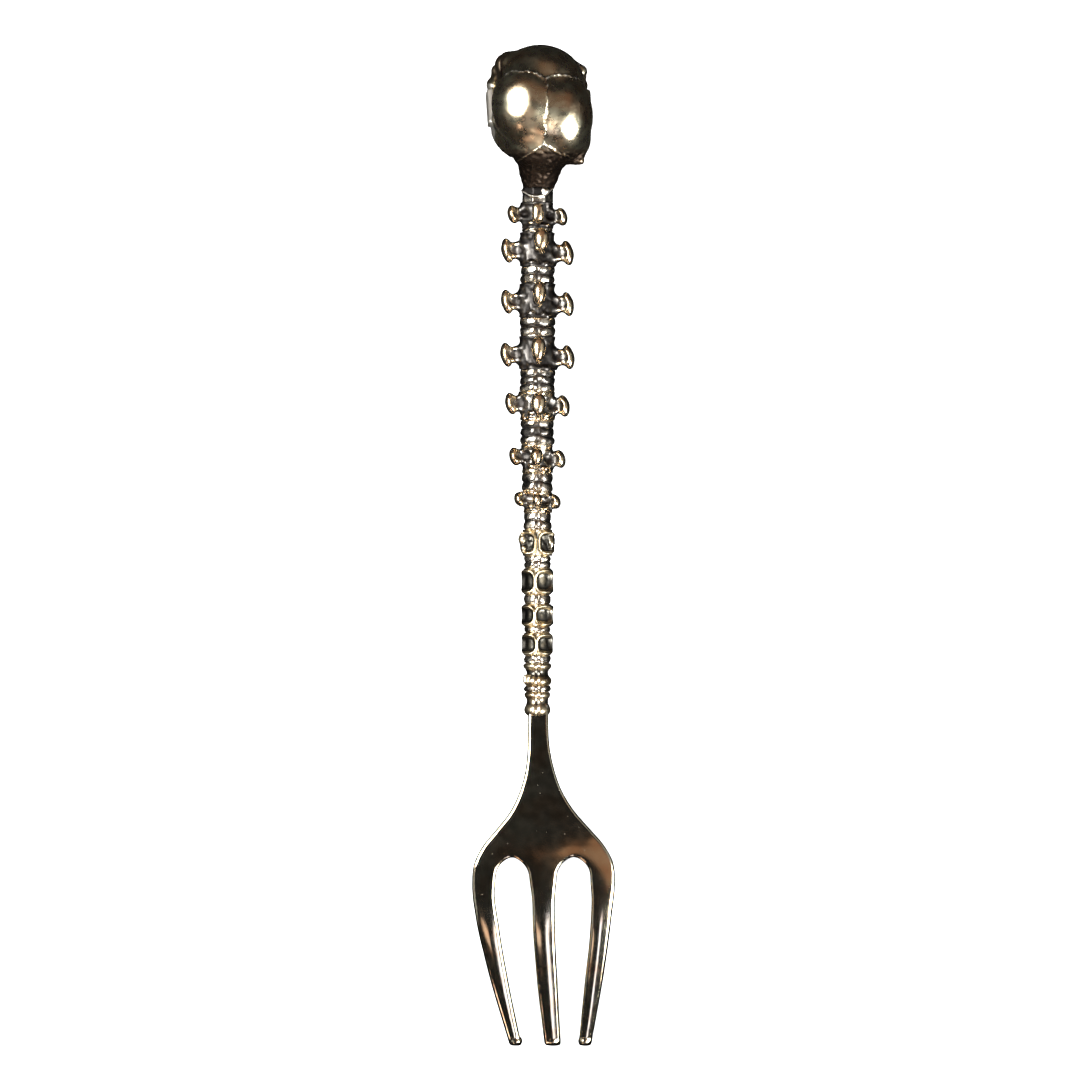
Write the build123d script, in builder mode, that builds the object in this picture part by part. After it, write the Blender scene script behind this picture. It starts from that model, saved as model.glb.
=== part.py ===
from build123d import *
import os
from collections import namedtuple
from math import cos, radians, sin

# A bar fork with a skeleton for a handle, in millimetres. It lies on a table with its back up,
# on its tine tips and the skull's chin. X runs across it, Y from the tine tips up to the crown
# of the skull, and Z = 0 is the table. Y = 0 and X = 0 are the middle of the whole fork.
# A rod drawn out of the fork head runs up through a stack of loose vertebrae and discs, and
# screws into the skull, which pulls the stack tight.

overall_length = 165.0      # tine tips to crown
handle_x = -1.0             # the handle's line, a little left of the fork head's middle
handle_z = 10.9             # height of the handle's line above the table

tang_d = 2.2                # rod inside the handle
bore_d = 2.3                # hole through every vertebra and disc
tang_end = 152.5            # stations are distances from the tine tips
neck_end = 54.7

skull_x = -0.1
skull_station = 155.12
skull_z = 14.95
skull_tip_down = 28.0       # degrees that the face looks down from the handle's line
skull_roll = 7.0            # degrees that the crown leans to the right
tang_hole_d = 2.25
pin_d = 0.8
pin_f = 1.0                 # jaw pins, forward of the skull's centre
pin_u = -5.4                # and below it
pin_in = 4.65               # inner end of each pin, out from the skull's middle
pin_clearance = 0.02        # round each pin in its hole
boss_in = 4.0               # inner end of the bosses the pins go into
boss_r = 1.1
bite_u = -9.0               # where the teeth meet


def along(station):
    """Y of a point that lies this far from the tine tips."""
    return station - overall_length / 2


handle_axis = Axis((handle_x, 0, handle_z), (0, 1, 0))
handle_plane = Plane((handle_x, 0, handle_z), x_dir=(1, 0, 0), z_dir=(0, 0, 1))
tip = radians(skull_tip_down)
roll = radians(skull_roll)
skull_plane = Plane(
    (skull_x, along(skull_station), skull_z),
    x_dir=(cos(roll), 0, -sin(roll)),
    z_dir=(cos(tip) * sin(roll), sin(tip), cos(tip) * cos(roll)),
)                           # local x across, y forward out of the face, z up through the crown


def at(points):
    """Points given as (x, station) become points of the fork's plan view."""
    return [(x, along(station)) for x, station in points]


def save(piece, name):
    """Labels a piece and writes it to its own file."""
    piece.label = name
    export_step(piece, f"parts/{name}.step")


os.makedirs("parts", exist_ok=True)

# ---- fork head: palm, three tines, neck and tang ----

right_edge = at([
    (0.85, neck_end), (0.95, 50.6), (1.5, 47.2), (3.1, 42.4), (5.1, 39.2), (7.6, 36.3),
    (10.0, 33.5), (11.45, 30.8), (11.75, 27.6), (11.3, 22.5), (10.2, 13.5), (7.9, 0),
])
left_edge = at([
    (-2.5, neck_end), (-2.6, 50.6), (-2.85, 46.6), (-3.9, 42.4), (-5.4, 39.2), (-7.8, 36.1),
    (-10.2, 33.1), (-11.5, 30.2), (-11.75, 27.0), (-11.2, 21.8), (-9.4, 13.5), (-5.4, 0),
])
left_gap = at([
    (-3.4, 0), (-5.7, 10.5), (-7.2, 19.5), (-7.95, 26.6), (-7.2, 30.3), (-5.15, 31.6),
    (-3.0, 30.2), (-2.15, 26.6), (-1.75, 19.5), (-1.05, 10.5), (0.2, 0),
])
right_gap = at([
    (2.9, 0), (2.35, 10.5), (1.95, 19.5), (2.05, 26.6), (2.75, 30.2), (5.0, 31.7),
    (7.1, 30.3), (7.75, 26.6), (7.65, 19.5), (6.75, 10.5), (5.8, 0),
])
back_height = [
    (neck_end, 12.4), (49.5, 12.4), (44, 12.5), (38, 12.6), (32, 12.3), (26, 11.3),
    (20, 9.75), (12, 6.9), (5, 4.0), (0, 1.84),
]
front_height = [
    (neck_end, 9.4), (49.5, 9.4), (44, 9.9), (38, 10.3), (32, 10.0), (26, 9.0),
    (20, 7.45), (12, 4.7), (5, 1.9), (0, -0.16),
]                           # the rounding of the tips' edges brings their lowest point to Z = 0
tip_corner = 0.8            # rounding of the tine tips in plan
head_spare = 1.0            # the blank starts this far below the table
head_blank = 16.0           # and is taller than the whole head
edge_round = 0.35           # rounding of the head's long edges, back and front
long_edge = 5.0             # the short edges round the tine tips stay as they are

with BuildPart() as fork_head:
    with BuildSketch(Plane.XY.offset(-head_spare)):
        with BuildLine():
            outer_right = Spline(right_edge, tangents=[(0, -1), (-0.15, -1)])
            outer_left = Spline(left_edge, tangents=[(0, -1), (0.3, -1)])
            Line(outer_left @ 0, outer_right @ 0)
            Line(outer_left @ 1, outer_right @ 1)
        make_face()
        for gap in (left_gap, right_gap):
            with BuildLine():
                edge = Spline(gap)
                Line(edge @ 1, edge @ 0)
            make_face(mode=Mode.SUBTRACT)
        tips = vertices().group_by(Axis.Y)[0]
        fillet(tips, tip_corner)
    extrude(amount=head_blank)
    with BuildSketch(Plane.YZ):
        with BuildLine():
            back = Spline([(along(s), z) for s, z in back_height])
            front = Spline([(along(s), z) for s, z in front_height])
            Line(back @ 0, front @ 0)
            Line(back @ 1, front @ 1)
        make_face()
    extrude(amount=head_blank, both=True, mode=Mode.INTERSECT)
    shell = faces().filter_by(lambda face: abs(face.normal_at().Z) > 0.8)
    fillet([edge for edge in shell.edges() if edge.length > long_edge], edge_round)
    with BuildSketch(Plane((handle_x, along(neck_end), handle_z), z_dir=(0, 1, 0))):
        Circle(tang_d / 2)
    extrude(amount=tang_end - neck_end)
save(fork_head.part, "fork_head")

# ---- the stack of vertebrae and discs, from the skull down to the neck ----

Level = namedtuple(
    "Level", "length disc radius span knob arm_up spine_length spine_width spine_height spine_up"
)
levels = [
    Level(4.3, 0.6, 2.75, 9.8, 2.6, 0.0, 2.9, 2.0, 5.4, 0.3),
    Level(5.6, 2.8, 3.0, 11.7, 3.6, -0.4, 3.9, 2.4, 6.4, 1.4),
    Level(5.6, 3.1, 3.1, 11.8, 3.9, -0.4, 3.8, 2.2, 6.5, 1.1),
    Level(5.4, 3.7, 3.1, 12.0, 3.9, -0.5, 4.2, 2.2, 6.4, 0.5),
    Level(4.6, 4.1, 3.0, 10.5, 3.4, 0.2, 3.8, 2.3, 5.8, 0.2),
    Level(4.6, 3.1, 2.7, 9.2, 2.9, 0.2, 3.2, 1.9, 5.2, 0.4),
    Level(3.4, 2.8, 2.5, 7.6, 2.4, 0.3, 2.6, 1.5, 4.4, 0.3),
    Level(4.3, 2.0, 2.4, 6.1, 2.6, 0.0, 3.2, 1.4, 3.5, 0.0),
    Level(4.4, 1.5, 2.4, 5.5, 3.2, 0.0, 3.2, 1.4, 3.0, 0.0),
    Level(3.7, 1.0, 2.4, 5.5, 2.8, 0.0, 2.8, 1.4, 2.9, 0.0),
    Level(3.8, 1.2, 2.4, 5.4, 2.8, 0.0, 2.8, 1.4, 2.8, 0.0),
    Level(3.7, 1.0, 2.35, 5.2, 0.0, 0.0, 0.0, 0.0, 0.0, 0.0),
    Level(4.1, 0.0, 2.2, 4.6, 0.0, 0.0, 0.0, 0.0, 0.0, 0.0),
]                           # arm_up and spine_up shift those processes towards the skull
stack_top = 139.1           # station where the first vertebra meets the collar
collar_top = 141.5          # station where the collar meets the skull
waist_depth = 0.55          # how far a vertebra's side is drawn in
bead_depth = 0.35           # depth of the groove between a disc's two beads
arm_rise = 0.4              # the side processes leave the body this far above the handle's line
knob_r = 0.85
arm_t = 1.3
neck_seat_r = 1.75          # the last vertebra narrows to meet the neck


def waisted(low, high, low_radius, high_radius):
    """Half section of a bored ring with a drawn-in waist, to turn about the handle's line."""
    middle = (low + high) / 2
    waist = min(low_radius, high_radius) - waist_depth
    with BuildSketch(handle_plane) as section:
        with BuildLine():
            side = ThreePointArc(
                (low_radius, along(low)), (waist, along(middle)), (high_radius, along(high))
            )
            Polyline(side @ 1, (bore_d / 2, along(high)), (bore_d / 2, along(low)), side @ 0)
        make_face()
    return section.sketch


def beaded(low, high, radius):
    """Half section of a bored washer with two beads round its edge."""
    middle = (low + high) / 2
    bead = (high - low) / 4
    root = radius - min(bead_depth, bead)
    with BuildSketch(handle_plane) as section:
        with BuildLine():
            lower = ThreePointArc(
                (root, along(low)), (radius, along(low + bead)), (root, along(middle))
            )
            upper = ThreePointArc(
                lower @ 1, (radius, along(high - bead)), (root, along(high))
            )
            Polyline(upper @ 1, (bore_d / 2, along(high)), (bore_d / 2, along(low)), lower @ 0)
        make_face()
    return section.sketch


def side_process(level, middle, side):
    """One arm with a flared knob at its end; side is -1 or 1."""
    knob_x = side * (level.span / 2 - knob_r)
    root_x = side * level.radius * 0.7
    arm_root = level.knob * 0.5
    arm_neck = level.knob * 0.3
    height = handle_z + arm_rise
    with BuildPart() as arm:
        with BuildSketch(Plane((handle_x, along(middle), height - arm_t / 2))):
            with BuildLine():
                Polyline(
                    (root_x, -arm_root),
                    (knob_x, -arm_neck),
                    (knob_x, arm_neck),
                    (root_x, arm_root),
                    close=True,
                )
            make_face()
        extrude(amount=arm_t)
        knob_start = (handle_x + knob_x, along(middle) - level.knob / 2, height)
        with BuildSketch(Plane(knob_start, z_dir=(0, 1, 0))):
            Circle(knob_r)
        extrude(amount=level.knob)
    return arm.part


def spinous_process(level, middle):
    """The fin that leans up from a vertebra's back, with a rounded ridge along its top."""
    crest = along(middle) + level.spine_up
    top = handle_z + level.spine_height
    foot = handle_z + level.radius * 0.6
    ridge = level.spine_width / 2
    half = level.spine_length / 2
    with BuildPart() as fin:
        with BuildSketch(Plane.YZ.offset(handle_x)):
            with BuildLine():
                Polyline(
                    (along(middle) - half * 0.75, foot),
                    (crest - half * 0.9, top - ridge),
                    (crest + half * 0.9, top - ridge),
                    (along(middle) + half * 0.95, foot),
                    close=True,
                )
            make_face()
        extrude(amount=ridge * 0.7, both=True)
        with BuildSketch(Plane((handle_x, crest, top - ridge * 1.6))):
            SlotOverall(level.spine_length, level.spine_width, rotation=90)
        extrude(amount=ridge * 1.6)
    return fin.part


high = stack_top
for number, level in enumerate(levels, start=1):
    low = high - level.length
    middle = (low + high) / 2
    low_radius = neck_seat_r if number == len(levels) else level.radius
    body = waisted(low, high, low_radius, level.radius)
    processes = []
    if level.spine_height:
        processes = [side_process(level, middle + level.arm_up, side) for side in (-1, 1)]
        processes.append(spinous_process(level, middle))
    with BuildPart() as vertebra:
        revolve(body, axis=handle_axis)
        add(processes)
        with BuildSketch(Plane((handle_x, along(low), handle_z), z_dir=(0, 1, 0))):
            Circle(bore_d / 2)
        extrude(amount=level.length, mode=Mode.SUBTRACT)
    save(vertebra.part, f"vertebra_{number:02d}")
    high = low
    if level.disc:
        low = high - level.disc
        washer = beaded(low, high, level.radius - 0.1)
        with BuildPart() as disc:
            revolve(washer, axis=handle_axis)
        save(disc.part, f"disc_{number:02d}")
        high = low

collar = waisted(stack_top, collar_top, 2.7, 2.6)
with BuildPart() as atlas_collar:
    revolve(collar, axis=handle_axis)
save(atlas_collar.part, "atlas_collar")

# ---- skull: braincase and face, jaw, and the pins that hold the jaw ----

braincase = [
    (0.4, 10.2), (2.7, 9.7), (5.1, 8.1), (6.8, 4.6), (7.4, 0.4), (7.3, -3.0), (6.4, -6.2),
    (4.7, -8.6), (2.5, -9.9), (0.4, -10.3),
]                           # half section from the forehead back to the nape
arch_reach = 9.0            # cheek arches, out from the middle
arch_t = 1.2
ramus_in = 6.2              # inner and outer face of the jaw's upright branches
ramus_out = 7.2
skull_axis = Axis(skull_plane.origin, skull_plane.y_dir)


def skull_level(u):
    """A plane square to the skull's own upright axis, at height u."""
    return skull_plane.offset(u)


def jaw_pin_plane(side, x):
    """A plane across the line of the jaw pins, x out from the middle, facing out on that side."""
    origin = skull_plane.from_local_coords((side * x, pin_f, pin_u))
    return Plane(origin, x_dir=skull_plane.y_dir, z_dir=skull_plane.x_dir * side)


with BuildPart() as cranium:
    with BuildSketch(skull_plane):
        with BuildLine():
            case = Spline(braincase)
            Polyline(case @ 1, (0, -10.3), (0, 10.2), case @ 0)
        make_face()
    revolve(axis=skull_axis)
    # face, narrowing from the brow to the upper teeth
    with BuildSketch(skull_level(-0.6)):
        with Locations((0, 6.3)):
            RectangleRounded(12.6, 6.8, 2.4)
    with BuildSketch(skull_level(-6.2)):
        with Locations((0, 6.3)):
            RectangleRounded(9.6, 6.2, 2.2)
    with BuildSketch(skull_level(bite_u)):
        with Locations((0, 6.2)):
            RectangleRounded(6.6, 5.0, 2.2)
    loft()
    # cheek arches
    for side in (-1, 1):
        with BuildSketch(skull_level(-5.7)):
            with BuildLine():
                outer = ThreePointArc(
                    (side * 5.6, 7.9), (side * arch_reach, 2.2), (side * 5.2, -3.7)
                )
                inner = ThreePointArc(
                    (side * 4.4, 6.9), (side * (arch_reach - arch_t), 2.2), (side * 4.0, -2.9)
                )
                Line(outer @ 0, inner @ 0)
                Line(outer @ 1, inner @ 1)
            make_face()
        extrude(amount=1.7)
    # bosses that the jaw pins go into
    for side in (-1, 1):
        with BuildSketch(jaw_pin_plane(side, boss_in)):
            Circle(boss_r)
        extrude(amount=ramus_in - boss_in - 0.05)
    # nape, running down into the neck
    with BuildSketch(handle_plane):
        with BuildLine():
            flare = Spline(
                (2.7, along(collar_top)), (3.3, along(144.2)), (4.9, along(148.0)),
                tangents=[(0, 1), (0.5, 1)],
            )
            Polyline(flare @ 1, (0, along(148.0)), (0, along(collar_top)), flare @ 0)
        make_face()
    revolve(axis=handle_axis)
    # eye sockets, nose and the hole for the tang
    for side in (-1, 1):
        with Locations(skull_plane.location * Location((side * 3.15, 10.0, -3.1))):
            Sphere(2.2, mode=Mode.SUBTRACT)
    with Locations(skull_plane.location * Location((0, 9.6, -5.9), (90, 0, 0))):
        Cone(0.9, 0.5, 3.0, mode=Mode.SUBTRACT)
    with BuildSketch(Plane((handle_x, along(collar_top), handle_z), z_dir=(0, 1, 0))):
        Circle(tang_hole_d / 2)
    extrude(amount=tang_end + 0.3 - collar_top, mode=Mode.SUBTRACT)
    for side in (-1, 1):
        with BuildSketch(jaw_pin_plane(side, pin_in - 0.05)):
            Circle(pin_d / 2 + pin_clearance)
        extrude(amount=2.0, mode=Mode.SUBTRACT)
save(cranium.part, "cranium")

jaw_outside = [(-7.2, -0.8), (-7.0, 3.0), (-5.3, 6.3), (-2.2, 8.3), (2.2, 8.3), (5.3, 6.3),
               (7.0, 3.0), (7.2, -0.8)]
jaw_inside = [(-6.2, -1.2), (-6.0, 2.8), (-4.3, 5.3), (-1.7, 6.7), (1.7, 6.7), (4.3, 5.3),
              (6.0, 2.8), (6.2, -1.2)]
jaw_side = [
    (-0.6, -10.6), (2.6, -11.4), (7.2, -12.4), (8.4, -12.12), (8.4, bite_u), (3.5, bite_u),
    (3.3, -6.0), (1.9, -6.7), (1.9, -4.6), (0.1, -4.6), (-0.5, -7.4),
]                           # from the angle of the jaw round the chin and up to the joint
jaw_lowest = -14.0
jaw_plane = Plane(skull_plane.origin, x_dir=skull_plane.y_dir, z_dir=skull_plane.x_dir)

with BuildPart() as mandible:
    with BuildSketch(skull_level(jaw_lowest)):
        with BuildLine():
            outside = Spline(jaw_outside)
            Line(outside @ 1, outside @ 0)
        make_face()
        with BuildLine():
            inside = Spline(jaw_inside)
            Line(inside @ 1, inside @ 0)
        make_face(mode=Mode.SUBTRACT)
    extrude(amount=-jaw_lowest)
    with BuildSketch(jaw_plane):
        with BuildLine():
            Polyline(jaw_side, close=True)
        make_face()
    extrude(amount=ramus_out + 1, both=True, mode=Mode.INTERSECT)
    with BuildSketch(jaw_plane):
        with Locations((pin_f, pin_u)):
            Circle(pin_d / 2 + pin_clearance)
    extrude(amount=ramus_out + 1, both=True, mode=Mode.SUBTRACT)
save(mandible.part, "mandible")

with BuildPart() as jaw_pins:
    for side in (-1, 1):
        with BuildSketch(jaw_pin_plane(side, pin_in)):
            Circle(pin_d / 2)
        extrude(amount=ramus_out + 0.1 - pin_in)
save(jaw_pins.part, "jaw_pins")
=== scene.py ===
from math import cos, pi, radians, sin

import bpy
import numpy as np
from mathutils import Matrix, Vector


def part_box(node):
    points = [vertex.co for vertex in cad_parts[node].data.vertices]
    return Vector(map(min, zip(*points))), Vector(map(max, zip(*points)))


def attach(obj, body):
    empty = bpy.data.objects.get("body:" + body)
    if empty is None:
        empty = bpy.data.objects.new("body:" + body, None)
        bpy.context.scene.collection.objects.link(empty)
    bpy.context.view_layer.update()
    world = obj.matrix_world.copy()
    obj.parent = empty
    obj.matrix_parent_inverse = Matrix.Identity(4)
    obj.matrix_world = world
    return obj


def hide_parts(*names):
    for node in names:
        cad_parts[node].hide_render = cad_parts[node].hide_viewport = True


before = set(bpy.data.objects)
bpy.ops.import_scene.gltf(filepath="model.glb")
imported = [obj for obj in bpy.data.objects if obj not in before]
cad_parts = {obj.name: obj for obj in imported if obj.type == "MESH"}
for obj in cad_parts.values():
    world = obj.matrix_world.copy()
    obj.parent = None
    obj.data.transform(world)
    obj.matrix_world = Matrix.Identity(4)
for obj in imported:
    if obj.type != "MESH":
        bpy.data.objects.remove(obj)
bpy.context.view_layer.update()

# A bar fork with a skull and spine for a handle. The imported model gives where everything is. Each
# piece is then modelled as a distance field and meshed, so that its forms run together as cast
# metal's do. Lengths are in millimetres until a mesh is made.

MM = 0.001
COARSE = 1.0
CORNERS = [(i, j, k) for i in (0, 1) for j in (0, 1) for k in (0, 1)]       # of a cell of a grid


def node_mm(name):
    """A CAD node's lowest and highest corner in millimetres."""
    low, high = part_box(name)
    return np.array(low) / MM, np.array(high) / MM


def placed(name, data):
    """A new object in the scene."""
    made = bpy.data.objects.new(name, data)
    bpy.context.scene.collection.objects.link(made)
    return made


# ---------------- distance fields

def ball(p, centre, radii):
    """Distance to an ellipsoid, near enough for blending."""
    qx, qy, qz = ((p[i] - centre[i]) / radii[i] for i in range(3))
    k0 = np.sqrt(qx * qx + qy * qy + qz * qz)
    k1 = np.sqrt((qx / radii[0]) ** 2 + (qy / radii[1]) ** 2 + (qz / radii[2]) ** 2)
    return k0 * (k0 - 1) / np.maximum(k1, 1e-6)


def rod(p, a, b, ra, rb):
    """Distance to a round bar from a to b whose radius runs from ra to rb."""
    along = [b[i] - a[i] for i in range(3)]
    length2 = sum(c * c for c in along)
    t = sum((p[i] - a[i]) * along[i] for i in range(3)) / length2
    t = np.clip(t, 0, 1)
    gap2 = sum((p[i] - a[i] - t * along[i]) ** 2 for i in range(3))
    return np.sqrt(gap2) - (ra + (rb - ra) * t)


def block(p, centre, half, rounding):
    """Distance to a box with rounded edges."""
    q = [np.abs(p[i] - centre[i]) - (half[i] - rounding) for i in range(3)]
    outside = np.sqrt(sum(np.maximum(c, 0) ** 2 for c in q))
    inside = np.minimum(np.maximum(np.maximum(q[0], q[1]), q[2]), 0)
    return outside + inside - rounding


def plane(p, centre, facing, reach):
    """Distance past a plane that stands this far from a centre and faces away from it."""
    return sum((p[i] - centre[i]) * facing[i] for i in range(3)) - reach


def join(a, b, k):
    """Union of two fields, blended over k."""
    h = np.clip(0.5 + 0.5 * (b - a) / k, 0, 1)
    return b + (a - b) * h - k * h * (1 - h)


def cut(a, b, k):
    """Field a with b taken out of it, blended over k."""
    return -join(-a, b, k)


def keep(a, b, k):
    """What a and b share, blended over k."""
    return -join(-a, -b, k)


def bump_line(distance, width):
    """1 on a line and 0 away from it, for raised seams and grooves."""
    return np.exp(-(distance / width) ** 2)


def waves(p, size, seed):
    """Smooth uneven noise of about the given size, from -1 to 1, the same on every run."""
    rng = np.random.default_rng(seed)
    table = rng.uniform(-1, 1, (32, 32, 32)).astype(np.float32)
    shift = rng.uniform(0, 32, 3)
    cells, shares = [], []
    for i in range(3):
        at = p[i] / (size * 0.55) + shift[i]
        cell = np.floor(at)
        share = at - cell
        cells.append(cell.astype(int))
        shares.append(share * share * (3 - 2 * share))
    total = 0
    for i, j, k in CORNERS:
        weight = ((shares[0] if i else 1 - shares[0]) * (shares[1] if j else 1 - shares[1])
                  * (shares[2] if k else 1 - shares[2]))
        total = total + weight * table[(cells[0] + i) % 32, (cells[1] + j) % 32, (cells[2] + k) % 32]
    return total


# ---------------- lines

def line_distance(x, y, points):
    """Distance in plan to a line through the points."""
    nearest = None
    for (ax, ay), (bx, by) in zip(points, points[1:]):
        length2 = (bx - ax) ** 2 + (by - ay) ** 2
        t = np.clip(((x - ax) * (bx - ax) + (y - ay) * (by - ay)) / length2, 0, 1)
        gap2 = (x - ax - t * (bx - ax)) ** 2 + (y - ay - t * (by - ay)) ** 2
        nearest = gap2 if nearest is None else np.minimum(nearest, gap2)
    return np.sqrt(nearest)


def smooth_line(points, gap=0.15):
    """A smooth curve through the points, as points about this far apart."""
    points = np.array(points, float)
    chord = np.linalg.norm(np.diff(points, axis=0), axis=1)[:, None]
    slope = np.diff(points, axis=0) / chord
    inner = (slope[1:] * chord[:-1] + slope[:-1] * chord[1:]) / (chord[1:] + chord[:-1])
    tangent = np.concatenate([slope[:1], inner, slope[-1:]])
    pieces = []
    for i, length in enumerate(chord[:, 0]):
        t = np.linspace(0, 1, max(2, round(length / gap)), endpoint=False)[:, None]
        pieces.append((2 * t ** 3 - 3 * t ** 2 + 1) * points[i]
                      + (t ** 3 - 2 * t ** 2 + t) * length * tangent[i]
                      + (3 * t ** 2 - 2 * t ** 3) * points[i + 1]
                      + (t ** 3 - t ** 2) * length * tangent[i + 1])
    return np.concatenate(pieces + [points[-1:]])


# ---------------- from fields to meshes

EDGES = [(a, b) for a in CORNERS for b in CORNERS
         if sum(abs(a[i] - b[i]) for i in range(3)) == 1 and a < b]


def net(values, low, step):
    """Surface net of a grid of distances: one vertex a crossed cell, one quad a crossed edge."""
    inside = values < 0
    size = np.array(values.shape) - 1
    count = sum(inside[i:i + size[0], j:j + size[1], k:k + size[2]].astype(np.int8)
                for i, j, k in CORNERS)
    cells = np.argwhere((count > 0) & (count < 8))
    index = np.full(size, -1)
    index[tuple(cells.T)] = np.arange(len(cells))
    place, hits = np.zeros((len(cells), 3)), np.zeros(len(cells))
    for a, b in EDGES:
        va = values[tuple((cells + a).T)]
        vb = values[tuple((cells + b).T)]
        crossed = (va < 0) != (vb < 0)
        t = np.where(crossed, va / np.where(crossed, va - vb, 1), 0)
        place += np.where(crossed[:, None], np.array(a) + t[:, None] * (np.array(b) - a), 0)
        hits += crossed
    verts = np.array(low) + step * (cells + place / hits[:, None])
    quads = []
    for axis in range(3):
        u, v = (axis + 1) % 3, (axis + 2) % 3
        first, second = [slice(None)] * 3, [slice(None)] * 3
        first[axis], second[axis] = slice(None, -1), slice(1, None)
        low_in = inside[tuple(first)]
        crossed = np.argwhere(low_in != inside[tuple(second)])
        crossed = crossed[(crossed[:, u] > 0) & (crossed[:, v] > 0)
                          & (crossed[:, u] < size[u]) & (crossed[:, v] < size[v])]
        around = []
        for du, dv in ((0, 0), (-1, 0), (-1, -1), (0, -1)):
            cell = crossed.copy()
            cell[:, u] += du
            cell[:, v] += dv
            around.append(index[tuple(cell.T)])
        quad = np.stack(around, axis=1)
        solid_low = low_in[tuple(crossed.T)]
        quad[~solid_low] = quad[~solid_low][:, ::-1]
        quads.append(quad)
    return verts, np.concatenate(quads)


def settle(shape, verts, quads, step, rounds=3):
    """Evens the vertices out and puts them back on the surface."""
    pairs = np.concatenate([quads[:, [i, (i + 1) % 4]] for i in range(4)])
    ends = np.concatenate([pairs[:, 0], pairs[:, 1]])
    others = np.concatenate([pairs[:, 1], pairs[:, 0]])
    degree = np.bincount(ends, minlength=len(verts))[:, None]
    reach = step * 0.25
    for _ in range(rounds):
        near = np.stack([np.bincount(ends, weights=verts[others, i], minlength=len(verts))
                         for i in range(3)], axis=1)
        verts = verts + 0.6 * (near / degree - verts)
        columns = [verts[:, i] for i in range(3)]
        distance = shape(columns)
        slope = np.zeros_like(verts)
        for i in range(3):
            ahead, behind = list(columns), list(columns)
            ahead[i], behind[i] = columns[i] + reach, columns[i] - reach
            slope[:, i] = (shape(ahead) - shape(behind)) / (2 * reach)
        steep = np.maximum((slope ** 2).sum(axis=1), 0.1)
        move = -(distance / steep)[:, None] * slope
        size = np.linalg.norm(move, axis=1)
        verts = verts + move * np.minimum(1, step / np.maximum(size, 1e-9))[:, None]
    return verts


def smear(grid, radius):
    """Three box blurs of a grid, close to a round blur."""
    for _ in range(3):
        for axis in range(3):
            padded = np.concatenate([np.repeat(np.take(grid, [0], axis), radius + 1, axis), grid,
                                     np.repeat(np.take(grid, [-1], axis), radius, axis)], axis)
            total = np.cumsum(padded, axis=axis, dtype=np.float64)
            width = 2 * radius + 1
            count = grid.shape[axis]
            upper = np.take(total, range(width, width + count), axis)
            lower = np.take(total, range(0, count), axis)
            grid = ((upper - lower) / width).astype(np.float32)
    return grid


def sample(grid, low, step, verts):
    """Reads a grid at the vertices, linearly between its points."""
    at = (verts - np.array(low)) / step
    cell = np.clip(np.floor(at).astype(int), 0, np.array(grid.shape) - 2)
    share = at - cell
    total = np.zeros(len(verts))
    for corner in CORNERS:
        weight = np.prod(np.where(np.array(corner), share, 1 - share), axis=1)
        total += weight * grid[tuple((cell + corner).T)]
    return total


def cast(name, shape, low, high, step, slot, material, to_world, tone=None, hollow=0.55):
    """Meshes a distance field as the piece that stands for the CAD node of the same name.

    low and high are the corners of a box that holds the field's surface, and to_world moves its
    vertices to where they belong. Each point keeps how sunken it lies, and its tone, which holds
    wear and painted light and shade, for its colour.
    """
    step = step * COARSE
    low, high = np.array(low, float), np.array(high, float)
    axes = [np.arange(low[i] - 2 * step, high[i] + 2 * step, step) for i in range(3)]
    low = np.array([a[0] for a in axes])
    open_grid = (axes[0][:, None, None], axes[1][None, :, None], axes[2][None, None, :])
    full = tuple(len(a) for a in axes)
    values = np.broadcast_to(shape(open_grid), full).astype(np.float32)
    verts, quads = net(values, low, step)
    verts = settle(shape, verts, quads, step)
    filled = np.clip(0.5 - values / step, 0, 1).astype(np.float32)
    sunken = sample(smear(filled, max(1, round(hollow / step))), low, step, verts)
    tones = tone([verts[:, i] for i in range(3)]) if tone else np.zeros(len(verts))
    mesh = bpy.data.meshes.new(name)
    mesh.from_pydata((to_world(verts) * MM).tolist(), [], quads.tolist())
    mesh.polygons.foreach_set("use_smooth", np.ones(len(quads), dtype=bool))
    for title, numbers in (("tone", tones), ("sunken", sunken)):
        mesh.attributes.new(title, "FLOAT", "POINT").data.foreach_set("value", numbers.astype(np.float32))
    mesh.materials.append(material)
    piece = placed(name, mesh)
    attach(piece, "root")
    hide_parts(name)


# ---------------- where things are

disc_low, disc_high = node_mm("disc_03")
handle_x = (disc_low[0] + disc_high[0]) / 2
handle_z = (disc_low[2] + disc_high[2]) / 2
crown_y = node_mm("cranium")[1][1]
nape_y = node_mm("cranium")[0][1]           # where the skull meets the collar

SKULL_TIP = radians(28)                     # the face looks this far down from the handle's line
SKULL_ROLL = radians(7)                     # and the crown leans this far to the right
SKULL_OFFSET = (0.9, -9.88, 4.05)           # its centre, from the crown's end of the handle's line
skull_centre = np.array([handle_x, crown_y, handle_z]) + SKULL_OFFSET
NECK = np.array([handle_x, nape_y, handle_z]) - skull_centre


def skull_to_seen(p):
    """Skull coordinates (across, forward, up) turned to the fork's axes about the skull's centre."""
    x, f, u = p
    rise = u * cos(SKULL_TIP) - f * sin(SKULL_TIP)
    ahead = f * cos(SKULL_TIP) + u * sin(SKULL_TIP)
    return (x * cos(SKULL_ROLL) + rise * sin(SKULL_ROLL), ahead,
            rise * cos(SKULL_ROLL) - x * sin(SKULL_ROLL))


def skull_to_world(verts):
    """Vertices in skull coordinates moved to where the skull is."""
    return np.stack(skull_to_seen([verts[:, i] for i in range(3)]), axis=1) + skull_centre


# ---------------- skull

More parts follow.
